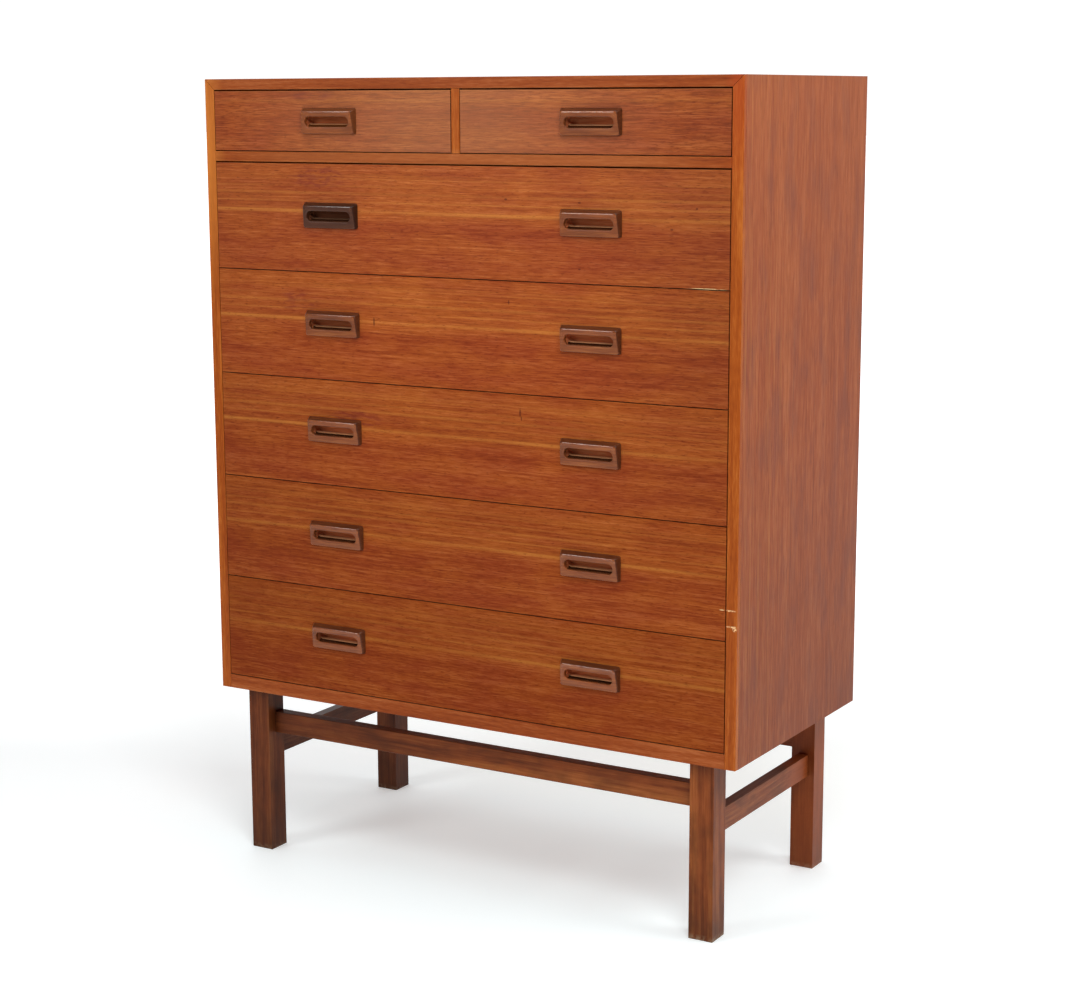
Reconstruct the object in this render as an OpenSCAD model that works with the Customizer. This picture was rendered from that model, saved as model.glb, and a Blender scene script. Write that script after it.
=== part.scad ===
// Tall chest of drawers: two small drawers over five long ones, in a veneered case on a
// square-legged base. Millimetres, +Z up, the front faces -Y, X runs along the width.
// The origin is on the floor at the middle of the whole piece.

/* [Case] */
// Width across the two side panels
case_w = 900; // [820:5:990]
// Depth from the front edges to the back edges
case_d = 420; // [410:5:480]
// Height of the case without its base
case_h = 948; // [900:1:1000]
// Thickness of each side panel
side_t = 17; // [15:0.5:20]
// Thickness of the top panel
top_t = 16; // [14:0.5:20]
// Thickness of the bottom panel
bottom_t = 22; // [18:0.5:28]
// Thickness of the shelf under the two small drawers
shelf_t = 15; // [12:0.5:20]
// Thickness of the divider between the two small drawers
divider_t = 14; // [14:0.5:20]
// Thickness of the plywood back
back_t = 6; // [4:0.5:9]
// Depth of the solid lipping glued on every front edge
lipping_d = 8; // [4:1:12]
// Clear height of the small drawers' compartments
small_opening_h = 91; // [85:1:110]

/* [Drawers] */
// Thickness of a drawer front
front_t = 18; // [16:0.5:22]
// Gap under each drawer front
front_gap = 1.4; // [0.8:0.1:2.5]
// Gap over the small fronts, and over the uppermost long one
head_gap = 2; // [1:0.1:4]
// Gap at each end of a drawer front
end_gap = 1.2; // [0.8:0.1:2]
// Depth of a drawer from its front face to the ends of its sides
drawer_d = 390; // [360:1:395]
// Thickness of a drawer side
box_side_t = 14; // [13:0.5:16]
// Thickness of a drawer back
box_back_t = 12; // [9:0.5:15]
// Thickness of a drawer's plywood bottom
box_bottom_t = 4; // [3:0.5:6]
// How far a drawer side starts above the lower edge of its front
box_raise = 3; // [2:0.5:8]
// How far a drawer side stops below the upper edge of its front
box_drop = 12; // [6:0.5:16]

/* [Runners] */
// Height of the runner strips, which the drawer sides hang on
runner_h = 15; // [12:0.5:18]
// How far a runner stands out from the case
runner_t = 9; // [7:0.5:9.5]
// Distance from the drawer's front face to the closed end of the runner groove
groove_start = 45; // [35:1:60]
// Length of each runner
runner_l = 350; // [300:5:360]
// Play between a runner and its groove
runner_play = 0.3; // [0.2:0.1:0.6]

/* [Pulls] */
// Length of a pull where it meets the drawer front
pull_w = 97; // [90:1:110]
// Height of a pull
pull_h = 37; // [34:0.5:45]
// Radius of a pull's corners
pull_corner = 3; // [1:0.5:4]
// How far the upper lip stands out
pull_lip = 10; // [8:0.5:16]
// How far the lower edge stands out
pull_toe = 5.5; // [4:0.5:8]
// How far the lip lies below the pull's upper edge
lip_bevel = 4; // [2:0.5:5]
// How far each end slopes in at the lip
end_bevel = 4.5; // [2:0.5:8]
// Length of the round-ended finger slot
slot_w = 78; // [60:1:80]
// Height of the finger slot
slot_h = 15; // [12:0.5:16]
// Height of the slot above the pull's lower edge
slot_up = 10; // [8:0.5:11]
// How much higher the finger room behind the slot lies
pocket_lift = 4.5; // [2:0.5:5]
// Depth of the finger room behind the drawer's front face
pocket_d = 10; // [6:0.5:11]
// How far a pull is let into the drawer front
pull_inset = 13; // [12:0.5:14]
// Distance of each pull from the middle of the chest
pull_x = 220; // [190:1:240]
// How far a long drawer's pulls sit above the middle of its front
pull_raise = 4; // [0:0.5:10]

/* [Base] */
// Height of the legs
leg_h = 264; // [220:1:300]
// Side of a leg's square section
leg_s = 38; // [34:1:46]
// Distance from a leg's outer face to the side of the case
leg_in_side = 40; // [20:1:60]
// Distance from a front leg to the front of the case
leg_in_front = 16; // [8:1:30]
// Distance from a back leg to the back of the case
leg_in_back = 14; // [8:1:30]
// Height of every stretcher
rail_h = 34; // [30:1:40]
// Thickness of the front and back stretchers
long_rail_t = 20; // [16:1:22]
// Distance from a leg's outer face to the front or back stretcher
long_rail_set = 16; // [6:0.5:16]
// Distance from the case down to the front and back stretchers
long_rail_drop = 39; // [20:1:40]
// Thickness of the side stretchers
side_rail_t = 17; // [14:1:20]
// Distance from a leg's outer face to a side stretcher
side_rail_set = 10; // [6:0.5:14]
// Distance from the case down to the side stretchers
side_rail_drop = 81; // [76:1:100]
// Length of the stretchers' tenons
tenon_l = 18; // [12:1:24]

/* [Hidden] */
$fn = 48;
LONG_DRAWERS = 5;

// The case, from the floor up
half_w = case_w / 2;
front_y = (pull_lip - case_d) / 2;
back_y = front_y + case_d;
core_y = front_y + lipping_d;
inner_y = back_y - back_t;
inner_x = half_w - side_t;
case_top = leg_h + case_h;
floor_z = leg_h + bottom_t;
ceiling_z = case_top - top_t;
shelf_top = ceiling_z - small_opening_h;
shelf_z = shelf_top - shelf_t;
shelf_dado = 5;
divider_dado = 4;
back_rebate = 8;
glue_line = 0.1;
over = 1;
end_play = 0.5;

// Drawer fronts and the boxes behind them
small_h = small_opening_h - front_gap - head_gap;
long_h = (shelf_z - floor_z - head_gap) / LONG_DRAWERS - front_gap;
lap_t = 8;
rear_y = front_y + front_t;
box_end_y = front_y + drawer_d;
side_overhang = 15;
box_back_y = box_end_y - box_back_t - side_overhang;
back_dado = 3;
box_back_drop = 6;
bottom_up = 8;
bottom_groove = 5;
bottom_play = 0.1;
tail_pitch = 36;
tail_base = 7.5;
tail_slope = 1 / 6;
tail_tip = tail_base + (front_t - lap_t) * tail_slope;
tip_y = front_y + lap_t;

// Runners, their grooves and screws
groove_h = runner_h + 2 * runner_play;
groove_clear = 0.4;
groove_t = runner_t - end_gap + groove_clear;
runner_y = front_y + groove_start + end_play;
screw_l = 16;
screw_d = 3.5;
screw_head_d = 7;
screw_head_h = 2.2;
screw_play = 0.1;
screw_inset = [40, 310];
divider_stagger = 15;

// How far the finger room reaches forward behind the lip, and the pull's play in its mortise
pull_relief = 3;
pull_play = 0.1;

// Base joints
leg_x1 = half_w - leg_in_side;
leg_x0 = leg_x1 - leg_s;
front_leg_y = front_y + leg_in_front;
back_leg_y = back_y - leg_in_back - leg_s;
front_rail_y = front_leg_y + long_rail_set;
back_rail_y = back_leg_y + leg_s - long_rail_set - long_rail_t;
long_rail_z = leg_h - long_rail_drop - rail_h;
side_rail_z = leg_h - side_rail_drop - rail_h;
side_rail_x = leg_x1 - side_rail_set - side_rail_t;
tenon_shoulder = 4;
mortise_play = 0.1;
spigot_d = 20;
spigot_h = 12;

TEAK = "#A5552D";
TEAK_EDGE = "#B36A34";
TEAK_SIDE = "#9C6249";
BASE_WOOD = "#63361F";
PULL_WOOD = "#6B3D26";
BOX_WOOD = "#C9A271";
PLY = "#C8AE86";
STEEL = "#A8A49C";

// A drawer is [name, left x, right x, lower z, front height, where its pulls sit, pull raise].
// The x values are the opening's, before the gaps at the ends.
function long_z(i) = floor_z + front_gap + (LONG_DRAWERS - i) * (long_h + front_gap);
SMALL = [
    ["top_left_drawer", -inner_x, -divider_t / 2, shelf_top + front_gap, small_h, [-pull_x], 0],
    ["top_right_drawer", divider_t / 2, inner_x, shelf_top + front_gap, small_h, [pull_x], 0]
];
LONG = [
    for (i = [1:LONG_DRAWERS])
        [str("long_drawer_", i), -inner_x, inner_x, long_z(i), long_h, [-pull_x, pull_x], pull_raise]
];
DRAWERS = concat(SMALL, LONG);
DRAWER_PARTS = ["front", "side_left", "side_right", "back", "bottom", "pulls"];

function d_name(d) = d[0];
function d_x0(d) = d[1] + end_gap;
function d_x1(d) = d[2] - end_gap;
function d_z(d) = d[3];
function d_h(d) = d[4];
function d_pulls(d) = d[5];
function box_z(d) = d_z(d) + box_raise;
function box_h(d) = d_h(d) - box_raise - box_drop;
function runner_z(d) = box_z(d) + box_h(d) / 2;
function pull_z(d) = d_z(d) + d_h(d) / 2 + d[6] - pull_h / 2;

NODES = concat(
    ["side_panel_left", "side_panel_right", "top_panel", "bottom_panel", "back_panel",
     "drawer_shelf", "centre_divider", "front_lippings", "drawer_runners", "runner_screws",
     "front_leg_left", "front_leg_right", "back_leg_left", "back_leg_right",
     "front_stretcher", "back_stretcher", "side_stretcher_left", "side_stretcher_right"],
    [for (d = DRAWERS) for (p = DRAWER_PARTS) str(d_name(d), "_", p)]
);
node = "all";

function wanted(name) = node == "all" || node == name;

// A block between two corners
module block(low, high) translate(low) cube(high - low);

// A profile drawn in X and Z, run from y0 back to y1
module along_y(y0, y1) translate([0, y1, 0]) rotate([90, 0, 0]) linear_extrude(y1 - y0) children();

// A profile drawn in Y and Z, run from x0 right to x1
module along_x(x0, x1) translate([x0, 0, 0]) rotate([90, 0, 90]) linear_extrude(x1 - x0) children();

// Draws its children on the other side of the chest when flip is true
module flipped(flip) mirror([flip ? 1 : 0, 0, 0]) children();

// ---------------------------------------------------------------- case

// Outline of the left side seen from the front, with its mitred upper end
module side_outline()
    polygon([[-half_w, leg_h], [-inner_x, leg_h], [-inner_x, ceiling_z], [-half_w, case_top]]);

// Where a runner's two screws sit along the depth. A stagger keeps the screws that enter the
// divider from its two faces apart.
function screw_ys(stagger) = [for (s = screw_inset) runner_y + s + stagger];

// Pilot holes for the screws of one runner, drilled from x in the direction of way
module pilot_holes(x, way, z, stagger)
    for (y = screw_ys(stagger))
        translate([x, y, z]) rotate([0, 90 * way, 0])
            translate([0, 0, -over])
                cylinder(d = screw_d + screw_play, h = over + screw_l - runner_t + end_play);

module side_panel(right) color(TEAK_SIDE) flipped(right)
    difference() {
        along_y(core_y, back_y) side_outline();
        block([-inner_x - shelf_dado, core_y - over, shelf_z],
              [-inner_x + over, inner_y + over, shelf_top]);
        block([-inner_x - back_rebate, inner_y, leg_h - over],
              [-inner_x + over, back_y + over, ceiling_z + back_rebate]);
        for (d = concat([SMALL[0]], LONG)) pilot_holes(-inner_x, -1, runner_z(d), 0);
    }

module top_panel() color(TEAK)
    difference() {
        along_y(core_y, back_y)
            polygon([[-half_w, case_top], [half_w, case_top], [inner_x, ceiling_z], [-inner_x, ceiling_z]]);
        block([-inner_x - back_rebate, inner_y, ceiling_z - over],
              [inner_x + back_rebate, back_y + over, ceiling_z + back_rebate]);
        block([-divider_t / 2, core_y - over, ceiling_z - over],
              [divider_t / 2, inner_y + over, ceiling_z + divider_dado]);
    }

module bottom_panel() color(TEAK)
    difference() {
        block([-inner_x, core_y, leg_h], [inner_x, inner_y, floor_z]);
        for (x = [-1, 1], y = [front_leg_y, back_leg_y])
            translate([x * (leg_x0 + leg_s / 2), y + leg_s / 2, leg_h - over])
                cylinder(d = spigot_d + mortise_play, h = over + spigot_h + end_play);
    }

module back_panel() color(PLY)
    block([-inner_x - back_rebate, inner_y, leg_h],
          [inner_x + back_rebate, back_y, ceiling_z + back_rebate]);

module drawer_shelf() color(TEAK)
    difference() {
        block([-inner_x - shelf_dado, core_y, shelf_z], [inner_x + shelf_dado, inner_y, shelf_top]);
        block([-divider_t / 2, core_y - over, shelf_top - divider_dado],
              [divider_t / 2, inner_y + over, shelf_top + over]);
    }

module centre_divider() color(TEAK_EDGE)
    difference() {
        block([-divider_t / 2, core_y, shelf_top - divider_dado],
              [divider_t / 2, inner_y, ceiling_z + divider_dado]);
        pilot_holes(-divider_t / 2, 1, runner_z(SMALL[0]), 0);
        pilot_holes(divider_t / 2, -1, runner_z(SMALL[1]), divider_stagger);
    }

// Solid strips on the front edges: two stiles, the top and bottom rails, the shelf's and the divider's.
// Each stops a glue line short of the next.
module front_lippings() color(TEAK_EDGE) along_y(front_y, core_y) {
    side_outline();
    mirror([1, 0]) side_outline();
    polygon([[-half_w + glue_line * 2, case_top], [half_w - glue_line * 2, case_top],
             [inner_x - glue_line * 2, ceiling_z], [-inner_x + glue_line * 2, ceiling_z]]);
    translate([-inner_x + glue_line, leg_h]) square([2 * (inner_x - glue_line), bottom_t]);
    translate([-inner_x + glue_line, shelf_z]) square([2 * (inner_x - glue_line), shelf_t]);
    translate([-divider_t / 2, shelf_top + glue_line])
        square([divider_t, small_opening_h - 2 * glue_line]);
}

// ---------------------------------------------------------------- runners

// One strip, its front end round, lying on a wall at x and standing out in the direction of way
module runner(x, way, z, stagger)
    difference() {
        along_x(min(x, x + way * runner_t), max(x, x + way * runner_t)) {
            translate([runner_y + runner_h / 2, z]) circle(d = runner_h);
            translate([runner_y + runner_h / 2, z - runner_h / 2])
                square([runner_l - runner_h / 2, runner_h]);
        }
        for (y = screw_ys(stagger)) translate([x, y, z]) rotate([0, 90 * way, 0]) {
            translate([0, 0, -over]) cylinder(d = screw_d + screw_play, h = runner_t + 2 * over);
            translate([0, 0, runner_t - screw_head_h])
                cylinder(d1 = screw_d + screw_play, d2 = screw_head_d + screw_play, h = screw_head_h);
        }
    }

// Countersunk screws of one runner
module screws(x, way, z, stagger)
    for (y = screw_ys(stagger)) translate([x, y, z]) rotate([0, 90 * way, 0]) {
        translate([0, 0, runner_t - screw_l]) cylinder(d = screw_d, h = screw_l);
        translate([0, 0, runner_t - screw_head_h])
            cylinder(d1 = screw_d, d2 = screw_head_d, h = screw_head_h);
    }

// Both walls that a drawer hangs between: [x, way out of the wall, stagger]
function walls(d) = [[d[1], 1, d[1] > 0 ? divider_stagger : 0], [d[2], -1, 0]];

module drawer_runners() color(BOX_WOOD)
    for (d = DRAWERS, w = walls(d)) runner(w[0], w[1], runner_z(d), w[2]);

module runner_screws() color(STEEL)
    for (d = DRAWERS, w = walls(d)) screws(w[0], w[1], runner_z(d), w[2]);

// ---------------------------------------------------------------- base

// A right-hand leg. rail_y is the middle of the long stretcher that meets its inner face, and
// way points from this leg to the other leg on the same side.
module leg_body(y0, rail_y, way) {
    middle_y = y0 + leg_s / 2;
    cheek_y = middle_y + way * leg_s / 2;
    long_half = long_rail_t / 4 + mortise_play;
    side_half = side_rail_t / 4 + mortise_play;
    depth = tenon_l + mortise_play;
    shoulder = tenon_shoulder - mortise_play;
    difference() {
        union() {
            block([leg_x0, y0, 0], [leg_x1, y0 + leg_s, leg_h]);
            translate([leg_x0 + leg_s / 2, middle_y, leg_h - over])
                cylinder(d = spigot_d, h = over + spigot_h);
        }
        block([leg_x0 - over, rail_y - long_half, long_rail_z + shoulder],
              [leg_x0 + depth, rail_y + long_half, long_rail_z + rail_h - shoulder]);
        block([side_rail_x + side_rail_t / 2 - side_half, min(cheek_y + way, cheek_y - way * depth),
               side_rail_z + shoulder],
              [side_rail_x + side_rail_t / 2 + side_half, max(cheek_y + way, cheek_y - way * depth),
               side_rail_z + rail_h - shoulder]);
    }
}

module front_leg(right) color(BASE_WOOD) flipped(!right)
    leg_body(front_leg_y, front_rail_y + long_rail_t / 2, 1);

module back_leg(right) color(BASE_WOOD) flipped(!right)
    leg_body(back_leg_y, back_rail_y + long_rail_t / 2, -1);

// A stretcher between the front pair or the back pair of legs, tenoned into both
module long_stretcher(y) color(BASE_WOOD) {
    block([-leg_x0, y, long_rail_z], [leg_x0, y + long_rail_t, long_rail_z + rail_h]);
    block([-leg_x0 - tenon_l, y + long_rail_t / 4, long_rail_z + tenon_shoulder],
          [leg_x0 + tenon_l, y + long_rail_t * 3 / 4, long_rail_z + rail_h - tenon_shoulder]);
}

module side_stretcher(right) color(BASE_WOOD) flipped(!right) {
    y0 = front_leg_y + leg_s;
    block([side_rail_x, y0, side_rail_z], [side_rail_x + side_rail_t, back_leg_y, side_rail_z + rail_h]);
    block([side_rail_x + side_rail_t / 4, y0 - tenon_l, side_rail_z + tenon_shoulder],
          [side_rail_x + side_rail_t * 3 / 4, back_leg_y + tenon_l, side_rail_z + rail_h - tenon_shoulder]);
}

// ---------------------------------------------------------------- drawers

// Round-ended slot outline about its middle
module slot_outline() {
    square([slot_w - slot_h, slot_h], center = true);
    for (s = [-1, 1]) translate([s * (slot_w - slot_h) / 2, 0]) circle(d = slot_h);
}

// A pull's outline seen from the front, standing on the origin, and larger all round by grow
module pull_outline(grow) {
    w = pull_w + 2 * grow;
    h = pull_h + 2 * grow;
    r = pull_corner + grow;
    translate([0, pull_h / 2]) {
        square([w - 2 * r, h], center = true);
        square([w, h - 2 * r], center = true);
        for (x = [-1, 1], z = [-1, 1]) translate([x * (w / 2 - r), z * (h / 2 - r)]) circle(r);
    }
}

// Dovetails of a drawer side, drawn in Y and Z, reaching forward into the front. Each is four
// points, taken upward.
function tail_count(d) = max(2, round(box_h(d) / tail_pitch));
function tail_z(d, i) = box_z(d) + box_h(d) * (i + 0.5) / tail_count(d);
function tail(z) =
    [[rear_y, z - tail_base], [tip_y, z - tail_tip], [tip_y, z + tail_tip], [rear_y, z + tail_base]];

module side_board(d)
    polygon(concat(
        [for (i = [0:tail_count(d) - 1]) each tail(tail_z(d, i))],
        [[rear_y, box_z(d) + box_h(d)], [box_end_y, box_z(d) + box_h(d)],
         [box_end_y, box_z(d)], [rear_y, box_z(d)]]
    ));

// The sockets that the dovetails fill, open at the front's rear face and at its end
module sockets(d, x0, x1)
    for (i = [0:tail_count(d) - 1])
        along_x(x0, x1) polygon(concat(tail(tail_z(d, i)),
            [[rear_y + over, tail_z(d, i) + tail_base], [rear_y + over, tail_z(d, i) - tail_base]]));

module drawer_front(d) color(TEAK)
    difference() {
        block([d_x0(d), front_y, d_z(d)], [d_x1(d), rear_y, d_z(d) + d_h(d)]);
        sockets(d, d_x0(d) - over, d_x0(d) + box_side_t);
        sockets(d, d_x1(d) - box_side_t, d_x1(d) + over);
        block([d_x0(d) + box_side_t - bottom_groove, rear_y - bottom_groove - over,
               box_z(d) + bottom_up - bottom_play],
              [d_x1(d) - box_side_t + bottom_groove, rear_y + over,
               box_z(d) + bottom_up + box_bottom_t + bottom_play]);
        for (x = d_pulls(d))
            translate([x, 0, pull_z(d)]) along_y(front_y - over, front_y + pull_inset) pull_outline(pull_play);
    }

// A cut into a drawer side between two X positions given in either order
module side_cut(xa, xb) along_x(min(xa, xb), max(xa, xb)) children();

// A side with its outer face at x; way points into the drawer
module drawer_side(d, x, way) color(BOX_WOOD)
    difference() {
        along_x(min(x, x + way * box_side_t), max(x, x + way * box_side_t)) side_board(d);
        side_cut(x - way, x + way * groove_t) {
            translate([front_y + groove_start + groove_h / 2, runner_z(d)]) circle(d = groove_h);
            translate([front_y + groove_start + groove_h / 2, runner_z(d) - groove_h / 2])
                square([drawer_d, groove_h]);
        }
        side_cut(x + way * (box_side_t - bottom_groove), x + way * (box_side_t + over))
            translate([rear_y - bottom_groove - over, box_z(d) + bottom_up - bottom_play])
                square([drawer_d, box_bottom_t + 2 * bottom_play]);
        side_cut(x + way * (box_side_t - back_dado), x + way * (box_side_t + over))
            translate([box_back_y, box_z(d) + bottom_up + box_bottom_t])
                square([box_back_t, box_h(d)]);
    }

module drawer_back(d) color(BOX_WOOD)
    block([d_x0(d) + box_side_t - back_dado, box_back_y, box_z(d) + bottom_up + box_bottom_t],
          [d_x1(d) - box_side_t + back_dado, box_back_y + box_back_t, box_z(d) + box_h(d) - box_back_drop]);

module drawer_bottom(d) color(PLY)
    block([d_x0(d) + box_side_t - bottom_groove + end_play, rear_y - bottom_groove, box_z(d) + bottom_up],
          [d_x1(d) - box_side_t + bottom_groove - end_play, box_back_y + box_back_t,
           box_z(d) + bottom_up + box_bottom_t]);

// A block let into the drawer front, its face a wedge that is thickest at the lip. A round-ended
// finger slot is sunk into it and steps up behind the lip, so that the fingertips can hook there.
module pull() {
    slot_z = slot_up + slot_h / 2;
    half = pull_w / 2;
    difference() {
        intersection() {
            along_y(-pull_lip - over, pull_inset) pull_outline(0);
            along_x(-half - over, half + over)
                polygon([[pull_inset + over, -over], [pull_inset + over, pull_h + over], [0, pull_h + over],
                         [0, pull_h], [-pull_lip, pull_h - lip_bevel], [-pull_toe, 0], [-pull_toe, -over]]);
            linear_extrude(pull_h)
                polygon([[-half, pull_inset + over], [half, pull_inset + over], [half, 0],
                         [half - end_bevel, -pull_lip], [-half + end_bevel, -pull_lip], [-half, 0]]);
        }
        translate([0, 0, slot_z]) along_y(-pull_lip - over, 0) slot_outline();
        translate([0, 0, slot_z + pocket_lift]) along_y(-pull_relief, pocket_d) slot_outline();
    }
}

module drawer_pulls(d) color(PULL_WOOD)
    for (x = d_pulls(d)) translate([x, front_y, pull_z(d)]) pull();

// ---------------------------------------------------------------- assembly

if (wanted("side_panel_left")) side_panel(false);
if (wanted("side_panel_right")) side_panel(true);
if (wanted("top_panel")) top_panel();
if (wanted("bottom_panel")) bottom_panel();
if (wanted("back_panel")) back_panel();
if (wanted("drawer_shelf")) drawer_shelf();
if (wanted("centre_divider")) centre_divider();
if (wanted("front_lippings")) front_lippings();
if (wanted("drawer_runners")) drawer_runners();
if (wanted("runner_screws")) runner_screws();
if (wanted("front_leg_left")) front_leg(false);
if (wanted("front_leg_right")) front_leg(true);
if (wanted("back_leg_left")) back_leg(false);
if (wanted("back_leg_right")) back_leg(true);
if (wanted("front_stretcher")) long_stretcher(front_rail_y);
if (wanted("back_stretcher")) long_stretcher(back_rail_y);
if (wanted("side_stretcher_left")) side_stretcher(false);
if (wanted("side_stretcher_right")) side_stretcher(true);
for (d = DRAWERS) {
    if (wanted(str(d_name(d), "_front"))) drawer_front(d);
    if (wanted(str(d_name(d), "_side_left"))) drawer_side(d, d_x0(d), 1);
    if (wanted(str(d_name(d), "_side_right"))) drawer_side(d, d_x1(d), -1);
    if (wanted(str(d_name(d), "_back"))) drawer_back(d);
    if (wanted(str(d_name(d), "_bottom"))) drawer_bottom(d);
    if (wanted(str(d_name(d), "_pulls"))) drawer_pulls(d);
}
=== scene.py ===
import math

import bmesh
import bpy
from mathutils import Matrix, Vector


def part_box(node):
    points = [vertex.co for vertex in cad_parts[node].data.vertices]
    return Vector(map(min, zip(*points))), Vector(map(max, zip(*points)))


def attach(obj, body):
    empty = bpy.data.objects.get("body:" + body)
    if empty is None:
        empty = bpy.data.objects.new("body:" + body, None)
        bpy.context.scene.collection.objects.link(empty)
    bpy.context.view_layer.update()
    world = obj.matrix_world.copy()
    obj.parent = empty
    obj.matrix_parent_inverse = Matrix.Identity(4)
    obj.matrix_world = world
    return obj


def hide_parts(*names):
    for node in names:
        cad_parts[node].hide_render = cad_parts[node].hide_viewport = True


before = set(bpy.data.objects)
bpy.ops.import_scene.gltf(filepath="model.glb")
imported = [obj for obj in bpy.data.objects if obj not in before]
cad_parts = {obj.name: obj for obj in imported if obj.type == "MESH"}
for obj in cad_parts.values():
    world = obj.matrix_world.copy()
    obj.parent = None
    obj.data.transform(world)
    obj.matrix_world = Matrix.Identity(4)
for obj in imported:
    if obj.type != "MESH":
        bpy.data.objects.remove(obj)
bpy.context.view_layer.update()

# ------------------------------------------------------------------ side panels
# Two upright boards that carry the whole case, veneered in oiled teak with the grain running
# up. They are mitred into the top and their front edges are covered by solid strips.


def srgb(code):
    """Colour of a hex code, made linear."""
    parts = [int(code[i:i + 2], 16) / 255 for i in (0, 2, 4)]
    linear = [p / 12.92 if p <= 0.04045 else ((p + 0.055) / 1.055) ** 2.4 for p in parts]
    return tuple(linear + [1.0])


def add(tree, kind, inputs=None, stops=None, **settings):
    """Adds a shader node with its settings, colour stops and links, and returns it. Inputs go by
    name or number. A Mix takes 0 the share, 6 and 7 the colours. A MapRange takes 0 the value, 1
    and 2 the ends of its scale, and 3 and 4 what they give, which is 0 and 1 if not said."""
    made = tree.nodes.new("ShaderNode" + kind)
    for key, value in settings.items():
        setattr(made, key, value)
    for key, value in (inputs or {}).items():
        if isinstance(value, bpy.types.NodeSocket):
            tree.links.new(value, made.inputs[key])
        else:
            made.inputs[key].default_value = value
    if stops:
        ends = made.color_ramp.elements
        for _ in range(len(stops) - 2):
            ends.new(0.5)
        for element, (place, colour) in zip(ends, stops):
            element.position = place
            element.color = colour
    return made


def material(name):
    """A new material with an empty node tree."""
    made = bpy.data.materials.new(name)
    made.use_nodes = True
    made.node_tree.nodes.clear()
    return made, made.node_tree


def grain(tree, along):
    """The piece's own coordinates in metres, turned so that X runs with the grain."""
    place = add(tree, "TexCoord")
    axes = add(tree, "SeparateXYZ", {0: place.outputs["Object"]})
    order = {"X": "XYZ", "Y": "YXZ", "Z": "ZXY"}[along]
    turned = {i: axes.outputs[a] for i, a in enumerate(order)}
    return add(tree, "CombineXYZ", turned).outputs[0]


def waver(tree, way, size, amount, seed):
    """Bends straight grain: the place is moved by amount metres over marks of that size."""
    drawn = add(tree, "VectorMath", {0: way, 1: (1 / size, 3 / size, 3 / size)},
                operation="MULTIPLY")
    noise = add(tree, "TexNoise", {"Vector": drawn.outputs[0], "W": seed, "Scale": 1.0, "Detail": 1.5},
                noise_dimensions="4D")
    shift = add(tree, "VectorMath", {0: noise.outputs["Color"], 1: (0.5, 0.5, 0.5)},
                operation="SUBTRACT")
    sized = add(tree, "VectorMath", {0: shift.outputs[0], 1: (0.0, amount, amount)},
                operation="MULTIPLY")
    return add(tree, "VectorMath", {0: way, 1: sized.outputs[0]}, operation="ADD").outputs[0]


def marks(tree, way, long, wide, seed=0.0, detail=2.0):
    """Noise drawn out along the grain into marks of that length and width in metres."""
    drawn = add(tree, "VectorMath", {0: way, 1: (1 / long, 1 / wide, 1 / wide)},
                operation="MULTIPLY")
    return add(tree, "TexNoise", {"Vector": drawn.outputs[0], "W": seed, "Scale": 1.0, "Detail": detail,
                                  "Roughness": 0.55}, noise_dimensions="4D").outputs[0]


def weighed(tree, *pairs):
    """Sum of noises about 0.5, each with its weight."""
    total = 0.5 - sum(weight for _, weight in pairs) / 2
    for noise, weight in pairs:
        total = add(tree, "Math", {0: noise, 1: weight, 2: total},
                    operation="MULTIPLY_ADD").outputs[0]
    return total


def worn(tree, radius):
    """1 on the arrises and 0 on the flats."""
    soft = add(tree, "Bevel", {"Radius": radius}, samples=4)
    hard = add(tree, "NewGeometry")
    turn = add(tree, "VectorMath", {0: soft.outputs[0], 1: hard.outputs["True Normal"]},
               operation="DOT_PRODUCT")
    return add(tree, "MapRange", {0: turn.outputs["Value"], 1: 0.99, 2: 0.85}).outputs[0]


def spot(tree, place, centre, size, soft=0.4):
    """1 inside an ellipsoid of that centre and half size in metres, fading to 0 at its skin."""
    off = add(tree, "VectorMath", {0: place, 1: centre}, operation="SUBTRACT").outputs[0]
    off = add(tree, "VectorMath", {0: off, 1: size}, operation="DIVIDE").outputs[0]
    reach = add(tree, "VectorMath", {0: off}, operation="LENGTH").outputs["Value"]
    return add(tree, "MapRange", {0: reach, 1: 1.0, 2: 1.0 - soft}).outputs[0]


def spots(tree, place, *each):
    """The strongest of several spots, each (centre, half size)."""
    most = 0.0
    for centre, size in each:
        this = spot(tree, place, centre, size)
        most = add(tree, "Math", {0: most, 1: this}, operation="MAXIMUM").outputs[0]
    return most


def surface(tree, colour, rough, height, relief, sheen):
    """The shader under a finish: its colour, roughness, grain relief in metres and sheen."""
    bump = add(tree, "Bump", {"Strength": 1.0, "Distance": relief, "Height": height})
    shader = add(tree, "BsdfPrincipled", {"Base Color": colour, "Roughness": rough,
                                          "Specular IOR Level": sheen, "Normal": bump.outputs[0]})
    add(tree, "OutputMaterial", {0: shader.outputs[0]})


def soften(piece, radius, steps=2):
    """Joins the piece's faces at their corners and rounds every arris."""
    weld = piece.modifiers.new("weld", "WELD")
    weld.merge_threshold = 0.00002
    bevel = piece.modifiers.new("arrises", "BEVEL")
    bevel.width = radius
    bevel.segments = steps
    bevel.limit_method = "ANGLE"
    bevel.angle_limit = math.radians(35)
    bevel.miter_outer = "MITER_ARC"
    bevel.use_clamp_overlap = True
    shade = piece.modifiers.new("shade", "WEIGHTED_NORMAL")
    shade.keep_sharp = False


def dress(names, finish, radius=0.0004, steps=2):
    """Gives CAD pieces their finish and soft arrises."""
    for name in names:
        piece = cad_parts[name]
        for place in piece.material_slots:
            place.material = finish
        soften(piece, radius, steps)


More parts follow.
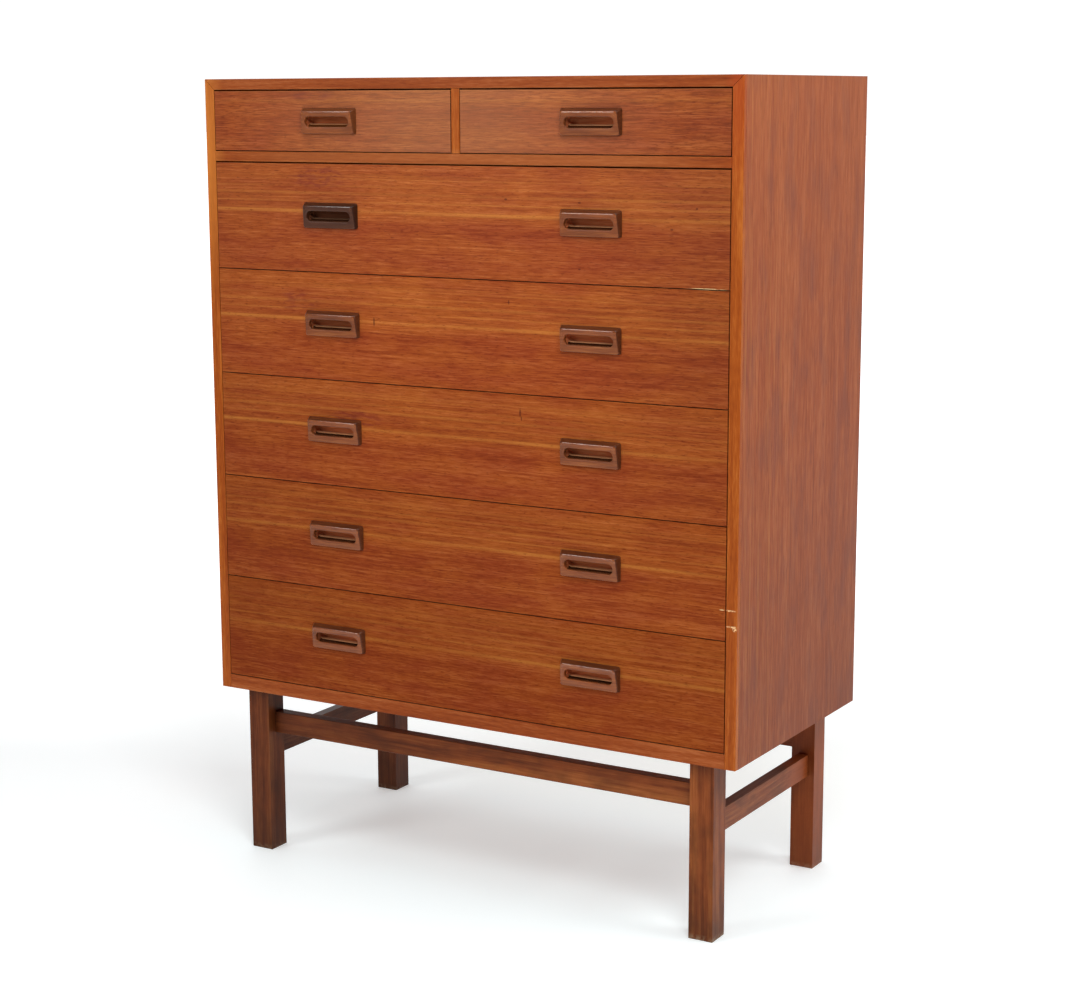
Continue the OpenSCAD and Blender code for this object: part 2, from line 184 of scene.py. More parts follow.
# Oiled teak veneer, upright: golden streaks and soft purplish clouds over pinkish brown, fine
# fibres, and open pores drawn coarser than they are so that they still show.
side_veneer, tree = material("oiled teak veneer, upright")
way = waver(tree, grain(tree, "Z"), 0.6, 0.006, 3.0)
bands = marks(tree, way, 1.2, 0.030, 1.0)
streaks = marks(tree, way, 0.16, 0.0065, 2.0)
fibres = marks(tree, way, 0.035, 0.0032, 3.0)
cloud = marks(tree, way, 0.11, 0.035, 4.0)
tone = weighed(tree, (bands, 0.35), (streaks, 0.55), (fibres, 0.75))
colour = add(tree, "ValToRGB", {0: tone}, stops=[
    (0.05, srgb("742F14")), (0.5, srgb("9C4C24")), (0.95, srgb("BC6E40"))]).outputs[0]
amount = add(tree, "MapRange", {0: cloud, 1: 0.48, 2: 0.70, 3: 0, 4: 0.6}).outputs[0]
colour = add(tree, "Mix", {0: amount, 6: colour, 7: srgb("7A3E2E")}, data_type="RGBA").outputs[2]

# Thin golden lines, stronger towards the front.
depth = add(tree, "SeparateXYZ", {0: way}).outputs[2]
thin = marks(tree, way, 0.35, 0.0022, 6.0)
thin = add(tree, "MapRange", {0: thin, 1: 0.52, 2: 0.64}).outputs[0]
share = add(tree, "MapRange", {0: depth, 1: -0.02, 2: -0.16, 3: 0.10, 4: 0.45}).outputs[0]
gilt = add(tree, "Math", {0: thin, 1: share}, operation="MULTIPLY").outputs[0]
colour = add(tree, "Mix", {0: gilt, 6: colour, 7: srgb("BE7A3C")}, data_type="RGBA").outputs[2]

# Broken dark lines where two leaves of the veneer meet, this far from the middle of the depth.
LEAF_JOINTS = (-0.032, 0.045)
JOINT_REACH = 0.0009
for joint in LEAF_JOINTS:
    near = add(tree, "Math", {0: depth, 1: joint, 2: JOINT_REACH}, operation="COMPARE").outputs[0]
    broken = marks(tree, way, 0.09, 0.004, 7.0 + joint)
    broken = add(tree, "MapRange", {0: broken, 1: 0.42, 2: 0.58, 3: 0.0, 4: 0.5}).outputs[0]
    amount = add(tree, "Math", {0: near, 1: broken}, operation="MULTIPLY").outputs[0]
    colour = add(tree, "Mix", {0: amount, 6: colour, 7: srgb("5A2418")}, data_type="RGBA").outputs[2]

# Open pores, then painted shade low down and painted light near the top of the side.
pores = marks(tree, way, 0.016, 0.0012, 5.0)
pores = add(tree, "MapRange", {0: pores, 1: 0.56, 2: 0.68}).outputs[0]
amount = add(tree, "Math", {0: pores, 1: 0.35}, operation="MULTIPLY").outputs[0]
colour = add(tree, "Mix", {0: amount, 6: colour, 7: srgb("4A2215")}, data_type="RGBA").outputs[2]
# Painted shade: darker low down.
rise = add(tree, "SeparateXYZ", {0: way}).outputs[0]
amount = add(tree, "MapRange", {0: rise, 1: 0.25, 2: 0.75, 3: 0.3, 4: 0.0}).outputs[0]
colour = add(tree, "Mix", {0: amount, 6: colour, 7: srgb("4A1E0C")}, data_type="RGBA").outputs[2]
# Painted light: paler near the top.
amount = add(tree, "MapRange", {0: rise, 1: 0.8, 2: 1.2, 3: 0.0, 4: 0.12}).outputs[0]
colour = add(tree, "Mix", {0: amount, 6: colour, 7: srgb("C8764A")}, data_type="RGBA").outputs[2]
rough = add(tree, "MapRange", {0: tone, 1: 0, 2: 1, 3: 0.44, 4: 0.36}).outputs[0]
surface(tree, colour, rough, fibres, 0.0002, 0.1)
dress(["side_panel_left", "side_panel_right"], side_veneer)

# ------------------------------------------------------------------ top, bottom, shelf, divider
# The boards that close the case and part the drawers, veneered in the same teak with the
# grain along their length. The shelf and divider sit in grooves.
long_veneer, tree = material("oiled teak veneer, lengthwise")
way = waver(tree, grain(tree, "X"), 0.5, 0.010, 13.0)
bands = marks(tree, way, 1.0, 0.04, 11.0)
streaks = marks(tree, way, 0.3, 0.005, 12.0)
fibres = marks(tree, way, 0.05, 0.0018, 13.0)
tone = weighed(tree, (bands, 0.9), (streaks, 0.7), (fibres, 0.5))
colour = add(tree, "ValToRGB", {0: tone}, stops=[
    (0.1, srgb("6C3016")), (0.5, srgb("91481F")), (0.9, srgb("B36C36"))]).outputs[0]
rough = add(tree, "MapRange", {0: tone, 1: 0, 2: 1, 3: 0.44, 4: 0.36}).outputs[0]
surface(tree, colour, rough, fibres, 0.0002, 0.3)
dress(["top_panel", "bottom_panel", "drawer_shelf"], long_veneer)
dress(["centre_divider"], side_veneer)

# ------------------------------------------------------------------ back
# A sheet of birch plywood, left bare, that keeps the case square. It is let into rebates round
# the back edges of the panels.
ply, tree = material("bare birch plywood")
way = waver(tree, grain(tree, "X"), 0.6, 0.03, 21.0)
bands = marks(tree, way, 0.7, 0.022, 22.0, 4.0)
fibres = marks(tree, way, 0.04, 0.0022, 23.0)
tone = weighed(tree, (bands, 0.8), (fibres, 0.7))
colour = add(tree, "ValToRGB", {0: tone}, stops=[
    (0.1, srgb("9A7B55")), (0.5, srgb("C2A47B")), (0.9, srgb("D6BE98"))]).outputs[0]
surface(tree, colour, 0.62, fibres, 0.0002, 0.35)
dress(["back_panel"], ply)

# ------------------------------------------------------------------ edging
# Solid teak strips glued to the front edges of the case: two tall stiles mitred to a top
# rail, and straight strips on the bottom, the shelf and the divider.


def edging(name, along, seed, shades):
    """Solid teak strip, oiled and rubbed pale on its arrises, which also stand in for a highlight, with
    painted shade in the gaps, painted light at the top left and two scratches low down on the right
    stile."""
    made, tree = material(name)
    way = waver(tree, grain(tree, along), 0.4, 0.004, seed)
    bands = marks(tree, way, 0.3, 0.012, seed + 1)
    streaks = marks(tree, way, 0.08, 0.0035, seed + 2)
    fibres = marks(tree, way, 0.016, 0.0016, seed + 3)
    tone = weighed(tree, (bands, 1.0), (streaks, 0.5), (fibres, 0.7))
    dark, middle, pale = [srgb(code) for code in shades]
    colour = add(tree, "ValToRGB", {0: tone}, stops=[
        (0.1, dark), (0.5, middle), (0.9, pale)]).outputs[0]

    # A redder length at the top right, and painted light at the top left, where more light falls.
    place = add(tree, "TexCoord").outputs["Object"]
    blush = spot(tree, place, (0.441, -0.20, 1.20), (0.02, 0.02, 0.16), 0.9)
    amount = add(tree, "Math", {0: blush, 1: 0.6}, operation="MULTIPLY").outputs[0]
    colour = add(tree, "Mix", {0: amount, 6: colour, 7: srgb("A83C14")}, data_type="RGBA").outputs[2]
    lit_top_left = spot(tree, place, (-0.45, -0.20, 1.10), (0.04, 0.02, 0.24), 0.9)
    amount = add(tree, "Math", {0: lit_top_left, 1: 0.65}, operation="MULTIPLY").outputs[0]
    colour = add(tree, "Mix", {0: amount, 6: colour, 7: srgb("DE8838")}, data_type="RGBA").outputs[2]

    # Painted shade on the faces that look into the gaps round the drawers, and a paler shelf edge.
    normal = add(tree, "NewGeometry").outputs["True Normal"]
    facing = add(tree, "SeparateXYZ", {0: normal}).outputs[1]
    opening = spot(tree, place, (0, 0, 0.72), (0.449, 9, 9), 0.01)
    share = add(tree, "MapRange", {0: facing, 1: -0.3, 2: -0.1, 3: 0.0, 4: 0.8}).outputs[0]
    gap_shade = add(tree, "Math", {0: share, 1: opening}, operation="MULTIPLY").outputs[0]
    colour = add(tree, "Mix", {0: gap_shade, 6: colour, 7: srgb("1E0805")}, data_type="RGBA").outputs[2]
    shelf = spot(tree, place, (0.0, -0.20, 1.098), (0.433, 0.05, 0.015), 0.3)
    amount = add(tree, "Math", {0: shelf, 1: 0.2}, operation="MULTIPLY").outputs[0]
    colour = add(tree, "Mix", {0: amount, 6: colour, 7: srgb("C07A44")}, data_type="RGBA").outputs[2]

    # Rubbed arrises, painted paler so that they also stand in for a highlight, and the two scratches,
    # with ragged rims.
    rubbed_and_highlit = worn(tree, 0.0015)
    share = add(tree, "MapRange", {0: streaks, 1: 0.4, 2: 0.65, 3: 0.0, 4: 0.4}).outputs[0]
    rubbed_and_highlit = add(tree, "Math", {0: rubbed_and_highlit, 1: share}, operation="MULTIPLY").outputs[0]
    colour = add(tree, "Mix", {0: rubbed_and_highlit, 6: colour, 7: srgb("C98A4C")}, data_type="RGBA").outputs[2]
    scraped = spots(tree, place, ((0.438, -0.205, 0.491), (0.011, 0.01, 0.0014)),
                    ((0.441, -0.205, 0.4685), (0.010, 0.01, 0.0014)),
                    ((0.446, -0.205, 0.466), (0.004, 0.01, 0.0045)))
    ragged = add(tree, "TexNoise", {"Vector": place, "Scale": 420.0}).outputs[0]
    ragged = add(tree, "MapRange", {0: ragged, 1: 0.40, 2: 0.56}).outputs[0]
    amount = add(tree, "Math", {0: scraped, 1: ragged}, operation="MULTIPLY").outputs[0]
    colour = add(tree, "Mix", {0: amount, 6: colour, 7: srgb("F2C48C")}, data_type="RGBA").outputs[2]
    rough = add(tree, "MapRange", {0: tone, 1: 0, 2: 1, 3: 0.42, 4: 0.32}).outputs[0]
    surface(tree, colour, rough, fibres, 0.0002, 0.12)
    return made


upright_edging = edging("oiled solid teak, upright", "Z", 31.0, ("7C2E08", "A34E14", "C4702C"))
level_edging = edging("oiled solid teak, lengthwise", "X", 41.0, ("702808", "944416", "B26434"))
low, high = (Vector(corner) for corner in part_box("front_lippings"))
side_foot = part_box("side_panel_left")[0][2]
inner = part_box("bottom_panel")[1][0]
# The back stands in a rebate this deep, so the top panel's underside lies lower than its top edge.
REBATE = 0.008
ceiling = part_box("back_panel")[1][2] - REBATE
floor_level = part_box("bottom_panel")[1][2]
shelf_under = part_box("drawer_shelf")[0][2]
shelf_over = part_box("drawer_shelf")[1][2]
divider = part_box("centre_divider")[1][0]
# A hair's breadth left where two strips meet.
GLUE = 0.00015


def strip(name, outline, finish):
    """A strip cut to an outline in X and Z, run from the case's front edge to its front face."""
    mesh = bpy.data.meshes.new(name)
    build = bmesh.new()
    rings = [[build.verts.new((x, y, z)) for x, z in outline] for y in (low.y, high.y)]
    count = len(outline)
    build.faces.new(rings[0])
    build.faces.new(rings[1][::-1])
    for i in range(count):
        j = (i + 1) % count
        build.faces.new((rings[0][i], rings[1][i], rings[1][j], rings[0][j]))
    bmesh.ops.recalc_face_normals(build, faces=build.faces)
    for face in build.faces:
        face.smooth = True
    build.to_mesh(mesh)
    build.free()
    mesh.materials.append(finish)
    piece = bpy.data.objects.new(name, mesh)
    bpy.context.scene.collection.objects.link(piece)
    soften(piece, 0.0008, 3)
    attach(piece, "case")
    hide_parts("front_lippings")


for hand, side in (("left", -1), ("right", 1)):
    strip("stile_edging_" + hand, [
        (side * high.x, side_foot), (side * inner, side_foot),
        (side * inner, ceiling), (side * high.x, high.z)], upright_edging)
strip("top_edging", [
    (-high.x + 2 * GLUE, high.z), (high.x - 2 * GLUE, high.z),
    (inner - 2 * GLUE, ceiling), (-inner + 2 * GLUE, ceiling)], level_edging)
for name, under, over in (("bottom_edging", side_foot, floor_level),
                          ("shelf_edging", shelf_under, shelf_over)):
    strip(name, [
        (-inner + GLUE, under), (inner - GLUE, under),
        (inner - GLUE, over), (-inner + GLUE, over)], level_edging)
strip("divider_edging", [
    (-divider, shelf_over + GLUE), (divider, shelf_over + GLUE),
    (divider, ceiling - GLUE), (-divider, ceiling - GLUE)], upright_edging)

# ------------------------------------------------------------------ drawer fronts
# Veneered boards, all cut one above another from the same flitch, so the same pale lines come
# back on every long front. Each has pockets behind its pulls and half-blind dovetail sockets.
DRAWERS = ["top_left_drawer", "top_right_drawer"] + ["long_drawer_%d" % i for i in range(1, 6)]
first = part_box("long_drawer_5_front")
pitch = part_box("long_drawer_4_front")[0][2] - first[0][2]

# Oiled teak veneer, lengthwise: sharp golden lines over golden brown that turns to mottled red
# lower down. Its open pores are drawn as coarse dashes, or they would vanish.
front_veneer, tree = material("oiled teak veneer, matched fronts")
place = grain(tree, "X")
axes = add(tree, "SeparateXYZ", {0: place})

# Sheets count up from the lowest front: 0 to 4 on the long fronts, 5 on the small ones. Each is
# cut this much further into the flitch than the one below, and height runs from 0 to 1 on it.
SHEET_STEP = 0.004
level = add(tree, "Math", {0: axes.outputs[2], 1: -first[0][2]}, operation="ADD").outputs[0]
level = add(tree, "Math", {0: level, 1: pitch}, operation="DIVIDE").outputs[0]
sheet = add(tree, "Math", {0: level}, operation="FLOOR").outputs[0]
height = add(tree, "Math", {0: level, 1: sheet}, operation="SUBTRACT").outputs[0]
flitch = add(tree, "CombineXYZ", {0: axes.outputs[0], 1: sheet, 2: height}).outputs[0]
scaled = add(tree, "VectorMath", {0: flitch, 1: (1.0, SHEET_STEP, pitch)},
             operation="MULTIPLY").outputs[0]
way = waver(tree, scaled, 0.55, 0.007, 51.0)
bent = add(tree, "SeparateXYZ", {0: way})
rise = add(tree, "Math", {0: bent.outputs[2], 1: pitch}, operation="DIVIDE").outputs[0]
bands = marks(tree, way, 0.7, 0.012, 52.0)
streaks = marks(tree, way, 0.22, 0.0032, 53.0)
fibres = marks(tree, way, 0.024, 0.0016, 54.0, 3.0)
cloud = marks(tree, way, 0.10, 0.030, 55.0, 1.0)
tone = weighed(tree, (bands, 0.6), (streaks, 0.7), (fibres, 1.3))
golden = add(tree, "ValToRGB", {0: tone}, stops=[
    (0.05, srgb("7C2C0A")), (0.5, srgb("A54F1A")), (0.95, srgb("C67036"))]).outputs[0]
reddish = add(tree, "ValToRGB", {0: tone}, stops=[
    (0.05, srgb("742508")), (0.5, srgb("984118")), (0.95, srgb("B45E30"))]).outputs[0]


def grey(level):
    """A grey for a ramp that carries an amount."""
    return (level, level, level, 1)


# Red wood comes and goes up the front, more on the small fronts and less towards the right.
redder = add(tree, "ValToRGB", {0: rise}, stops=[
    (0.0, grey(0.62)), (0.3, grey(0.75)), (0.46, grey(0.55)), (0.54, grey(0.2)),
    (0.62, grey(0.35)), (0.7, grey(0.5)), (0.8, grey(0.35)), (1.0, grey(0.3))]).outputs[0]
small = add(tree, "MapRange", {0: sheet, 1: 4.2, 2: 4.8}).outputs[0]
redder = add(tree, "Math", {0: small, 1: 0.1, 2: redder}, operation="MULTIPLY_ADD").outputs[0]
towards_right = add(tree, "MapRange", {0: axes.outputs[0], 1: 0.18, 2: 0.40}).outputs[0]
redder = add(tree, "Math", {0: towards_right, 1: -0.3, 2: redder},
             operation="MULTIPLY_ADD").outputs[0]
mottled = add(tree, "MapRange", {0: cloud, 1: 0.36, 2: 0.66, 3: -0.5, 4: 0.5}).outputs[0]
redder = add(tree, "Math", {0: mottled, 1: redder}, operation="ADD", use_clamp=True).outputs[0]
colour = add(tree, "Mix", {0: redder, 6: golden, 7: reddish}, data_type="RGBA").outputs[2]

# The golden lines, by how strong the gold is at each height: one double line just above the
# middle, a sharp one over it, and four fainter ones up to the top edge.
lines = add(tree, "ValToRGB", {0: rise}, stops=[
    (0.0, grey(0)), (0.45, grey(0)),
    (0.535, grey(0.1)), (0.552, grey(0.9)), (0.566, grey(1)), (0.578, grey(0.2)), (0.61, grey(0.1)),
    (0.636, grey(0.1)), (0.648, grey(0.85)), (0.660, grey(0.15)),
    (0.705, grey(0.1)), (0.718, grey(0.5)), (0.730, grey(0.6)), (0.742, grey(0.1)),
    (0.776, grey(0.1)), (0.789, grey(0.55)), (0.801, grey(0.1)),
    (0.845, grey(0.1)), (0.856, grey(0.5)), (0.868, grey(0.1)),
    (0.886, grey(0.35)), (0.90, grey(0.1)), (1.0, grey(0.05))]).outputs[0]

# The gold breaks up along the grain and is fainter on the small fronts, where the fibres show
# more. Open pores come last.
patchy = marks(tree, way, 0.25, 0.012, 56.0)
patchy = add(tree, "MapRange", {0: patchy, 1: 0.32, 2: 0.60, 3: 0.25, 4: 1.0}).outputs[0]
gold = add(tree, "Math", {0: lines, 1: patchy}, operation="MULTIPLY").outputs[0]
fainter = add(tree, "MapRange", {0: small, 1: 0, 2: 1, 3: 1.0, 4: 0.3}).outputs[0]
gold = add(tree, "Math", {0: gold, 1: fainter}, operation="MULTIPLY").outputs[0]
amount = add(tree, "Math", {0: gold, 1: 0.72}, operation="MULTIPLY").outputs[0]
colour = add(tree, "Mix", {0: amount, 6: colour, 7: srgb("CE8036")}, data_type="RGBA").outputs[2]
share = add(tree, "MapRange", {0: fibres, 1: 0.52, 2: 0.36, 3: 0.0, 4: 0.45}).outputs[0]
fibrous = add(tree, "Math", {0: small, 1: share}, operation="MULTIPLY").outputs[0]
colour = add(tree, "Mix", {0: fibrous, 6: colour, 7: srgb("7A3C18")}, data_type="RGBA").outputs[2]
pores = marks(tree, way, 0.009, 0.0013, 57.0)
pores = add(tree, "MapRange", {0: pores, 1: 0.57, 2: 0.68}).outputs[0]
amount = add(tree, "Math", {0: pores, 1: 0.5}, operation="MULTIPLY").outputs[0]
colour = add(tree, "Mix", {0: amount, 6: colour, 7: srgb("5A1600")}, data_type="RGBA").outputs[2]

# Wear on the fronts: hands have darkened the veneer over some pulls, there are a few dark pin
# knots, and slivers are chipped off the edges of two long fronts, at their right ends.
handled = spots(tree, place, ((-0.250, -0.205, 1.186), (0.045, 0.02, 0.008)),
                ((-0.240, -0.205, 1.068), (0.060, 0.02, 0.020)),
                ((-0.285, -0.205, 0.884), (0.045, 0.02, 0.018)),
                ((-0.180, -0.205, 0.712), (0.060, 0.02, 0.014)))
smeared = marks(tree, place, 0.018, 0.004, 58.0)
smeared = add(tree, "MapRange", {0: smeared, 1: 0.42, 2: 0.62, 3: 0.0, 4: 0.55}).outputs[0]
amount = add(tree, "Math", {0: handled, 1: smeared}, operation="MULTIPLY").outputs[0]
colour = add(tree, "Mix", {0: amount, 6: colour, 7: srgb("7A2A22")}, data_type="RGBA").outputs[2]
knots = spots(tree, place, ((0.087, -0.205, 0.898), (0.0016, 0.01, 0.004)),
              ((0.083, -0.205, 1.0425), (0.003, 0.01, 0.0018)),
              ((0.202, -0.205, 1.040), (0.003, 0.01, 0.0015)),
              ((0.3825, -0.205, 1.0357), (0.0022, 0.01, 0.0018)),
              ((0.345, -0.205, 1.007), (0.003, 0.01, 0.0015)),
              ((0.202, -0.205, 0.9485), (0.0025, 0.01, 0.0015)),
              ((-0.1455, -0.205, 0.859), (0.002, 0.01, 0.008)),
              ((0.105, -0.205, 0.741), (0.002, 0.01, 0.007)),
              ((0.107, -0.205, 0.733), (0.0015, 0.01, 0.004)))
amount = add(tree, "Math", {0: knots, 1: 0.6}, operation="MULTIPLY").outputs[0]
colour = add(tree, "Mix", {0: amount, 6: colour, 7: srgb("43190F")}, data_type="RGBA").outputs[2]
chip = spots(tree, place, ((0.400, -0.205, 0.9289), (0.033, 0.01, 0.0016)),
             ((0.4265, -0.205, 0.4910), (0.0045, 0.01, 0.0010)))
flaked = marks(tree, place, 0.012, 0.003, 59.0)
flaked = add(tree, "MapRange", {0: flaked, 1: 0.36, 2: 0.46}).outputs[0]
amount = add(tree, "Math", {0: chip, 1: flaked}, operation="MULTIPLY").outputs[0]
colour = add(tree, "Mix", {0: amount, 6: colour, 7: srgb("EFC88E")}, data_type="RGBA").outputs[2]

# Painted shade and light: the lower fronts and the right part of the upper fronts are painted darker,
# where less light falls, and the fronts are darker towards their left ends. The small fronts are
# painted paler, standing in for the sheen on them. The narrow edges in the gaps are painted darkest, as
# shade.
# Painted shade: darker on the lower fronts.
amount = add(tree, "MapRange", {0: sheet, 1: 0, 2: 3, 3: 0.28, 4: 0.04}).outputs[0]
colour = add(tree, "Mix", {0: amount, 6: colour, 7: srgb("3A1006")}, data_type="RGBA").outputs[2]
# Painted shade: darker on the right part of the upper fronts.
upper = add(tree, "MapRange", {0: sheet, 1: 1.5, 2: 2.5, 3: 0.02, 4: 0.24}).outputs[0]
amount = add(tree, "Math", {0: towards_right, 1: upper}, operation="MULTIPLY").outputs[0]
colour = add(tree, "Mix", {0: amount, 6: colour, 7: srgb("3A1408")}, data_type="RGBA").outputs[2]
across = axes.outputs[0]
amount = add(tree, "MapRange", {0: across, 1: -0.15, 2: -0.42, 3: 0.0, 4: 0.12}).outputs[0]
colour = add(tree, "Mix", {0: amount, 6: colour, 7: srgb("3A1408")}, data_type="RGBA").outputs[2]
# Painted sheen: paler on the small fronts.
sheen_on_small_fronts = spot(tree, place, (-0.02, -0.205, 1.15), (0.38, 0.02, 0.2), 0.8)
sheen_on_small_fronts = add(tree, "Math", {0: small, 1: sheen_on_small_fronts}, operation="MULTIPLY").outputs[0]
amount = add(tree, "Math", {0: sheen_on_small_fronts, 1: 0.30}, operation="MULTIPLY").outputs[0]
colour = add(tree, "Mix", {0: amount, 6: colour, 7: srgb("AC7C56")}, data_type="RGBA").outputs[2]
# Painted shade on the narrow edges that face into the gaps.
normal = add(tree, "NewGeometry").outputs["True Normal"]
facing = add(tree, "SeparateXYZ", {0: normal}).outputs[1]
edge = add(tree, "MapRange", {0: facing, 1: -0.3, 2: -0.1, 3: 0.0, 4: 0.55}).outputs[0]
colour = add(tree, "Mix", {0: edge, 6: colour, 7: srgb("2E0E06")}, data_type="RGBA").outputs[2]
oiled = add(tree, "MapRange", {0: sheet, 1: 0, 2: 4, 3: 0.05, 4: 0.15}).outputs[0]
rough = add(tree, "MapRange", {0: tone, 1: 0, 2: 1, 3: 0.42, 4: 0.34}).outputs[0]
surface(tree, colour, rough, fibres, 0.0003, oiled)
dress([name + "_front" for name in DRAWERS], front_veneer, 0.0006)

# ------------------------------------------------------------------ pulls
# Carved hardwood blocks let into the fronts. Each is thickest at its lip, which fingers have
# rounded and rubbed shiny, and a round-ended slot is sunk into it, hollowed out behind the rim.


def carved(name, shades, rough, sheen):
    """Dark hardwood of the pulls. No two blocks are quite alike: one is nearly black, and one a
    little paler."""
    made, tree = material(name)
    way = waver(tree, grain(tree, "X"), 0.1, 0.003, 61.0)
    streaks = marks(tree, way, 0.05, 0.0035, 62.0)
    fibres = marks(tree, way, 0.02, 0.0014, 63.0)
    tone = weighed(tree, (streaks, 0.9), (fibres, 0.7))
    dark, middle, pale = [srgb(code) for code in shades]
    colour = add(tree, "ValToRGB", {0: tone}, stops=[
        (0.1, dark), (0.5, middle), (0.9, pale)]).outputs[0]

    # How dark each block is, by where it sits on the chest.
    place = add(tree, "TexCoord").outputs["Object"]
    each = add(tree, "VectorMath", {0: place, 1: (2.2, 0.0, 6.2)}, operation="MULTIPLY").outputs[0]
    each = add(tree, "TexNoise", {"Vector": each, "W": 4.0, "Detail": 0.0},
               noise_dimensions="4D").outputs[0]
    amount = add(tree, "MapRange", {0: each, 1: 0.42, 2: 0.66, 3: 0, 4: 0.4}).outputs[0]
    colour = add(tree, "Mix", {0: amount, 6: colour, 7: srgb("4A2412")}, data_type="RGBA").outputs[2]
    darkest = spot(tree, place, (-0.22, -0.2, 1.01), (0.1, 0.1, 0.05), 0.1)
    amount = add(tree, "Math", {0: darkest, 1: 0.75}, operation="MULTIPLY").outputs[0]
    colour = add(tree, "Mix", {0: amount, 6: colour, 7: srgb("22120C")}, data_type="RGBA").outputs[2]
    paler = spot(tree, place, (-0.22, -0.2, 1.15), (0.2, 0.1, 0.05), 0.2)
    amount = add(tree, "Math", {0: paler, 1: 0.08}, operation="MULTIPLY").outputs[0]
    colour = add(tree, "Mix", {0: amount, 6: colour, 7: srgb("C47030")}, data_type="RGBA").outputs[2]
    # Rubbed arrises, painted paler so that they also stand in for a highlight.
    rubbed_and_highlit = worn(tree, 0.0012)
    amount = add(tree, "Math", {0: rubbed_and_highlit, 1: 0.25}, operation="MULTIPLY").outputs[0]
    colour = add(tree, "Mix", {0: amount, 6: colour, 7: srgb("A8704C")}, data_type="RGBA").outputs[2]
    surface(tree, colour, rough, fibres, 0.0001, sheen)
    return made


# Some finishes are painted light and shade: the walls and the start of the rounded edge are painted
# dark as shade, the band just inside the rim below the slot is painted dark as shade, and the ledge
# above it is painted pale as a highlight. The hollow is bare wood painted lighter, standing in for
# light reaching into it.
FINISHES = [
    carved("carved dark hardwood, waxed", ("5C2A10", "8A461E", "A8642F"), 0.36, 0.35),
    carved("carved dark hardwood, bare and painted lit in the hollow", ("984820", "C26A40", "D68858"), 0.8, 0.1),
    carved("carved dark hardwood, painted shade inside the rim", ("1E0D07", "2E150B", "3C1E10"), 0.8, 0.0),
    carved("carved dark hardwood, painted highlight on the ledge", ("B87848", "CA8E62", "D6A07A"), 0.6, 0.2),
    carved("carved dark hardwood, painted shade on the walls", ("3C1C0E", "5A2C16", "70401F"),
           0.3, 0.3),
    carved("carved dark hardwood, lip polished by hands", ("5C2A10", "8A461E", "A8642F"), 0.16, 0.7)]
WAXED, LIT_HOLLOW, SHADED_RIM, LIT_LEDGE, SHADED_EDGE, POLISHED = range(6)

# The block's outline on the front, and how far it goes into its mortise.
WIDE = 0.097
TALL = 0.037
CORNER = 0.003
INSET = 0.0128
# How far the face stands out at the lip above and at the toe below, and how far the lip and the
# ends lean in towards it.
LIP = 0.010
TOE = 0.0055
LIP_IN = 0.004
END_IN = 0.0045
# How the edge of the face is rounded: its bend starts this far down the walls, and ends this far
# in on the face, further at the lip than elsewhere.
DOWN_WALL = 0.0024
IN_FROM_LIP = 0.0050
IN_ELSEWHERE = 0.0022
EDGE_BENDS = 8
# The slot, the height of its middle line, and the radius of its nearly half-round ends.
SLOT_WIDE = 0.078
SLOT_TALL = 0.015
SLOT_MIDDLE = 0.0175
SLOT_END = SLOT_TALL / 2 - 0.0002
# The soft rim around the slot: its width, and how deep its bend and its inner edge lie.
RIM = 0.0017
RIM_BEND = 0.0002
RIM_DEEP = 0.0018
RIM_BENDS = 4
# The hollow behind the rim, as (depth, outward, upward) of each ring from the rim to the floor,
# with depth measured from the drawer front's face. It undercuts the rim a little, climbs behind
# the lip and closes in to a flat floor.
LIFT = 0.0045
HOLLOW_RINGS = (
    (-0.0022, 0.0, 0.0),
    (-0.0014, 0.0011, 0.0),
    (0.0006, 0.0012, 0.0002),
    (0.0014, 0.0004, 0.0018),
    (0.0016, 0.0, 0.0031),
    (0.0025, -0.0001, 0.0041),
    (0.0036, -0.0002, LIFT),
    (0.0075, -0.0004, LIFT),
    (0.0090, -0.0012, LIFT),
    (0.0098, -0.0032, LIFT))
# Bands of faces, counted from the back of the block outwards for the edge, painted dark as shade, and
# the lip, and from the rim inwards for the band painted dark as shade and the ledge painted pale as a
# highlight below the slot.
SHADED_EDGE_BAND = 5
LIP_BAND = 10
SHADED_RIM_BAND = 4
LIT_LEDGE_BAND = 8
# Points in each rounded corner.
AROUND = 18


def ring(wide, tall, corner, middle):
    """A rounded rectangle in X and Z, its middle at that height: AROUND points to each corner."""
    points = []
    for quarter, (sx, sz) in enumerate(((1, 1), (-1, 1), (-1, -1), (1, -1))):
        for step in range(AROUND):
            angle = math.radians(90) * (quarter + step / (AROUND - 1))
            points.append(Vector((sx * (wide / 2 - corner) + corner * math.cos(angle), 0.0,
                                  middle + sz * (tall / 2 - corner) + corner * math.sin(angle))))
    return points


def face_depth(z):
    """How far the sloping face stands out at a height above the pull's lower edge."""
    return TOE + (LIP - TOE) * z / (TALL - LIP_IN)


def curve(start, middle, end, steps):
    """Points of a bend from start to end, drawn towards middle."""
    return [start * (1 - t) ** 2 + middle * 2 * t * (1 - t) + end * t ** 2
            for t in [i / steps for i in range(steps + 1)]]


def flat_way(start, end):
    """Direction from one point to another, level with the drawer front."""
    way = end - start
    way.y = 0
    way.normalize()
    return way


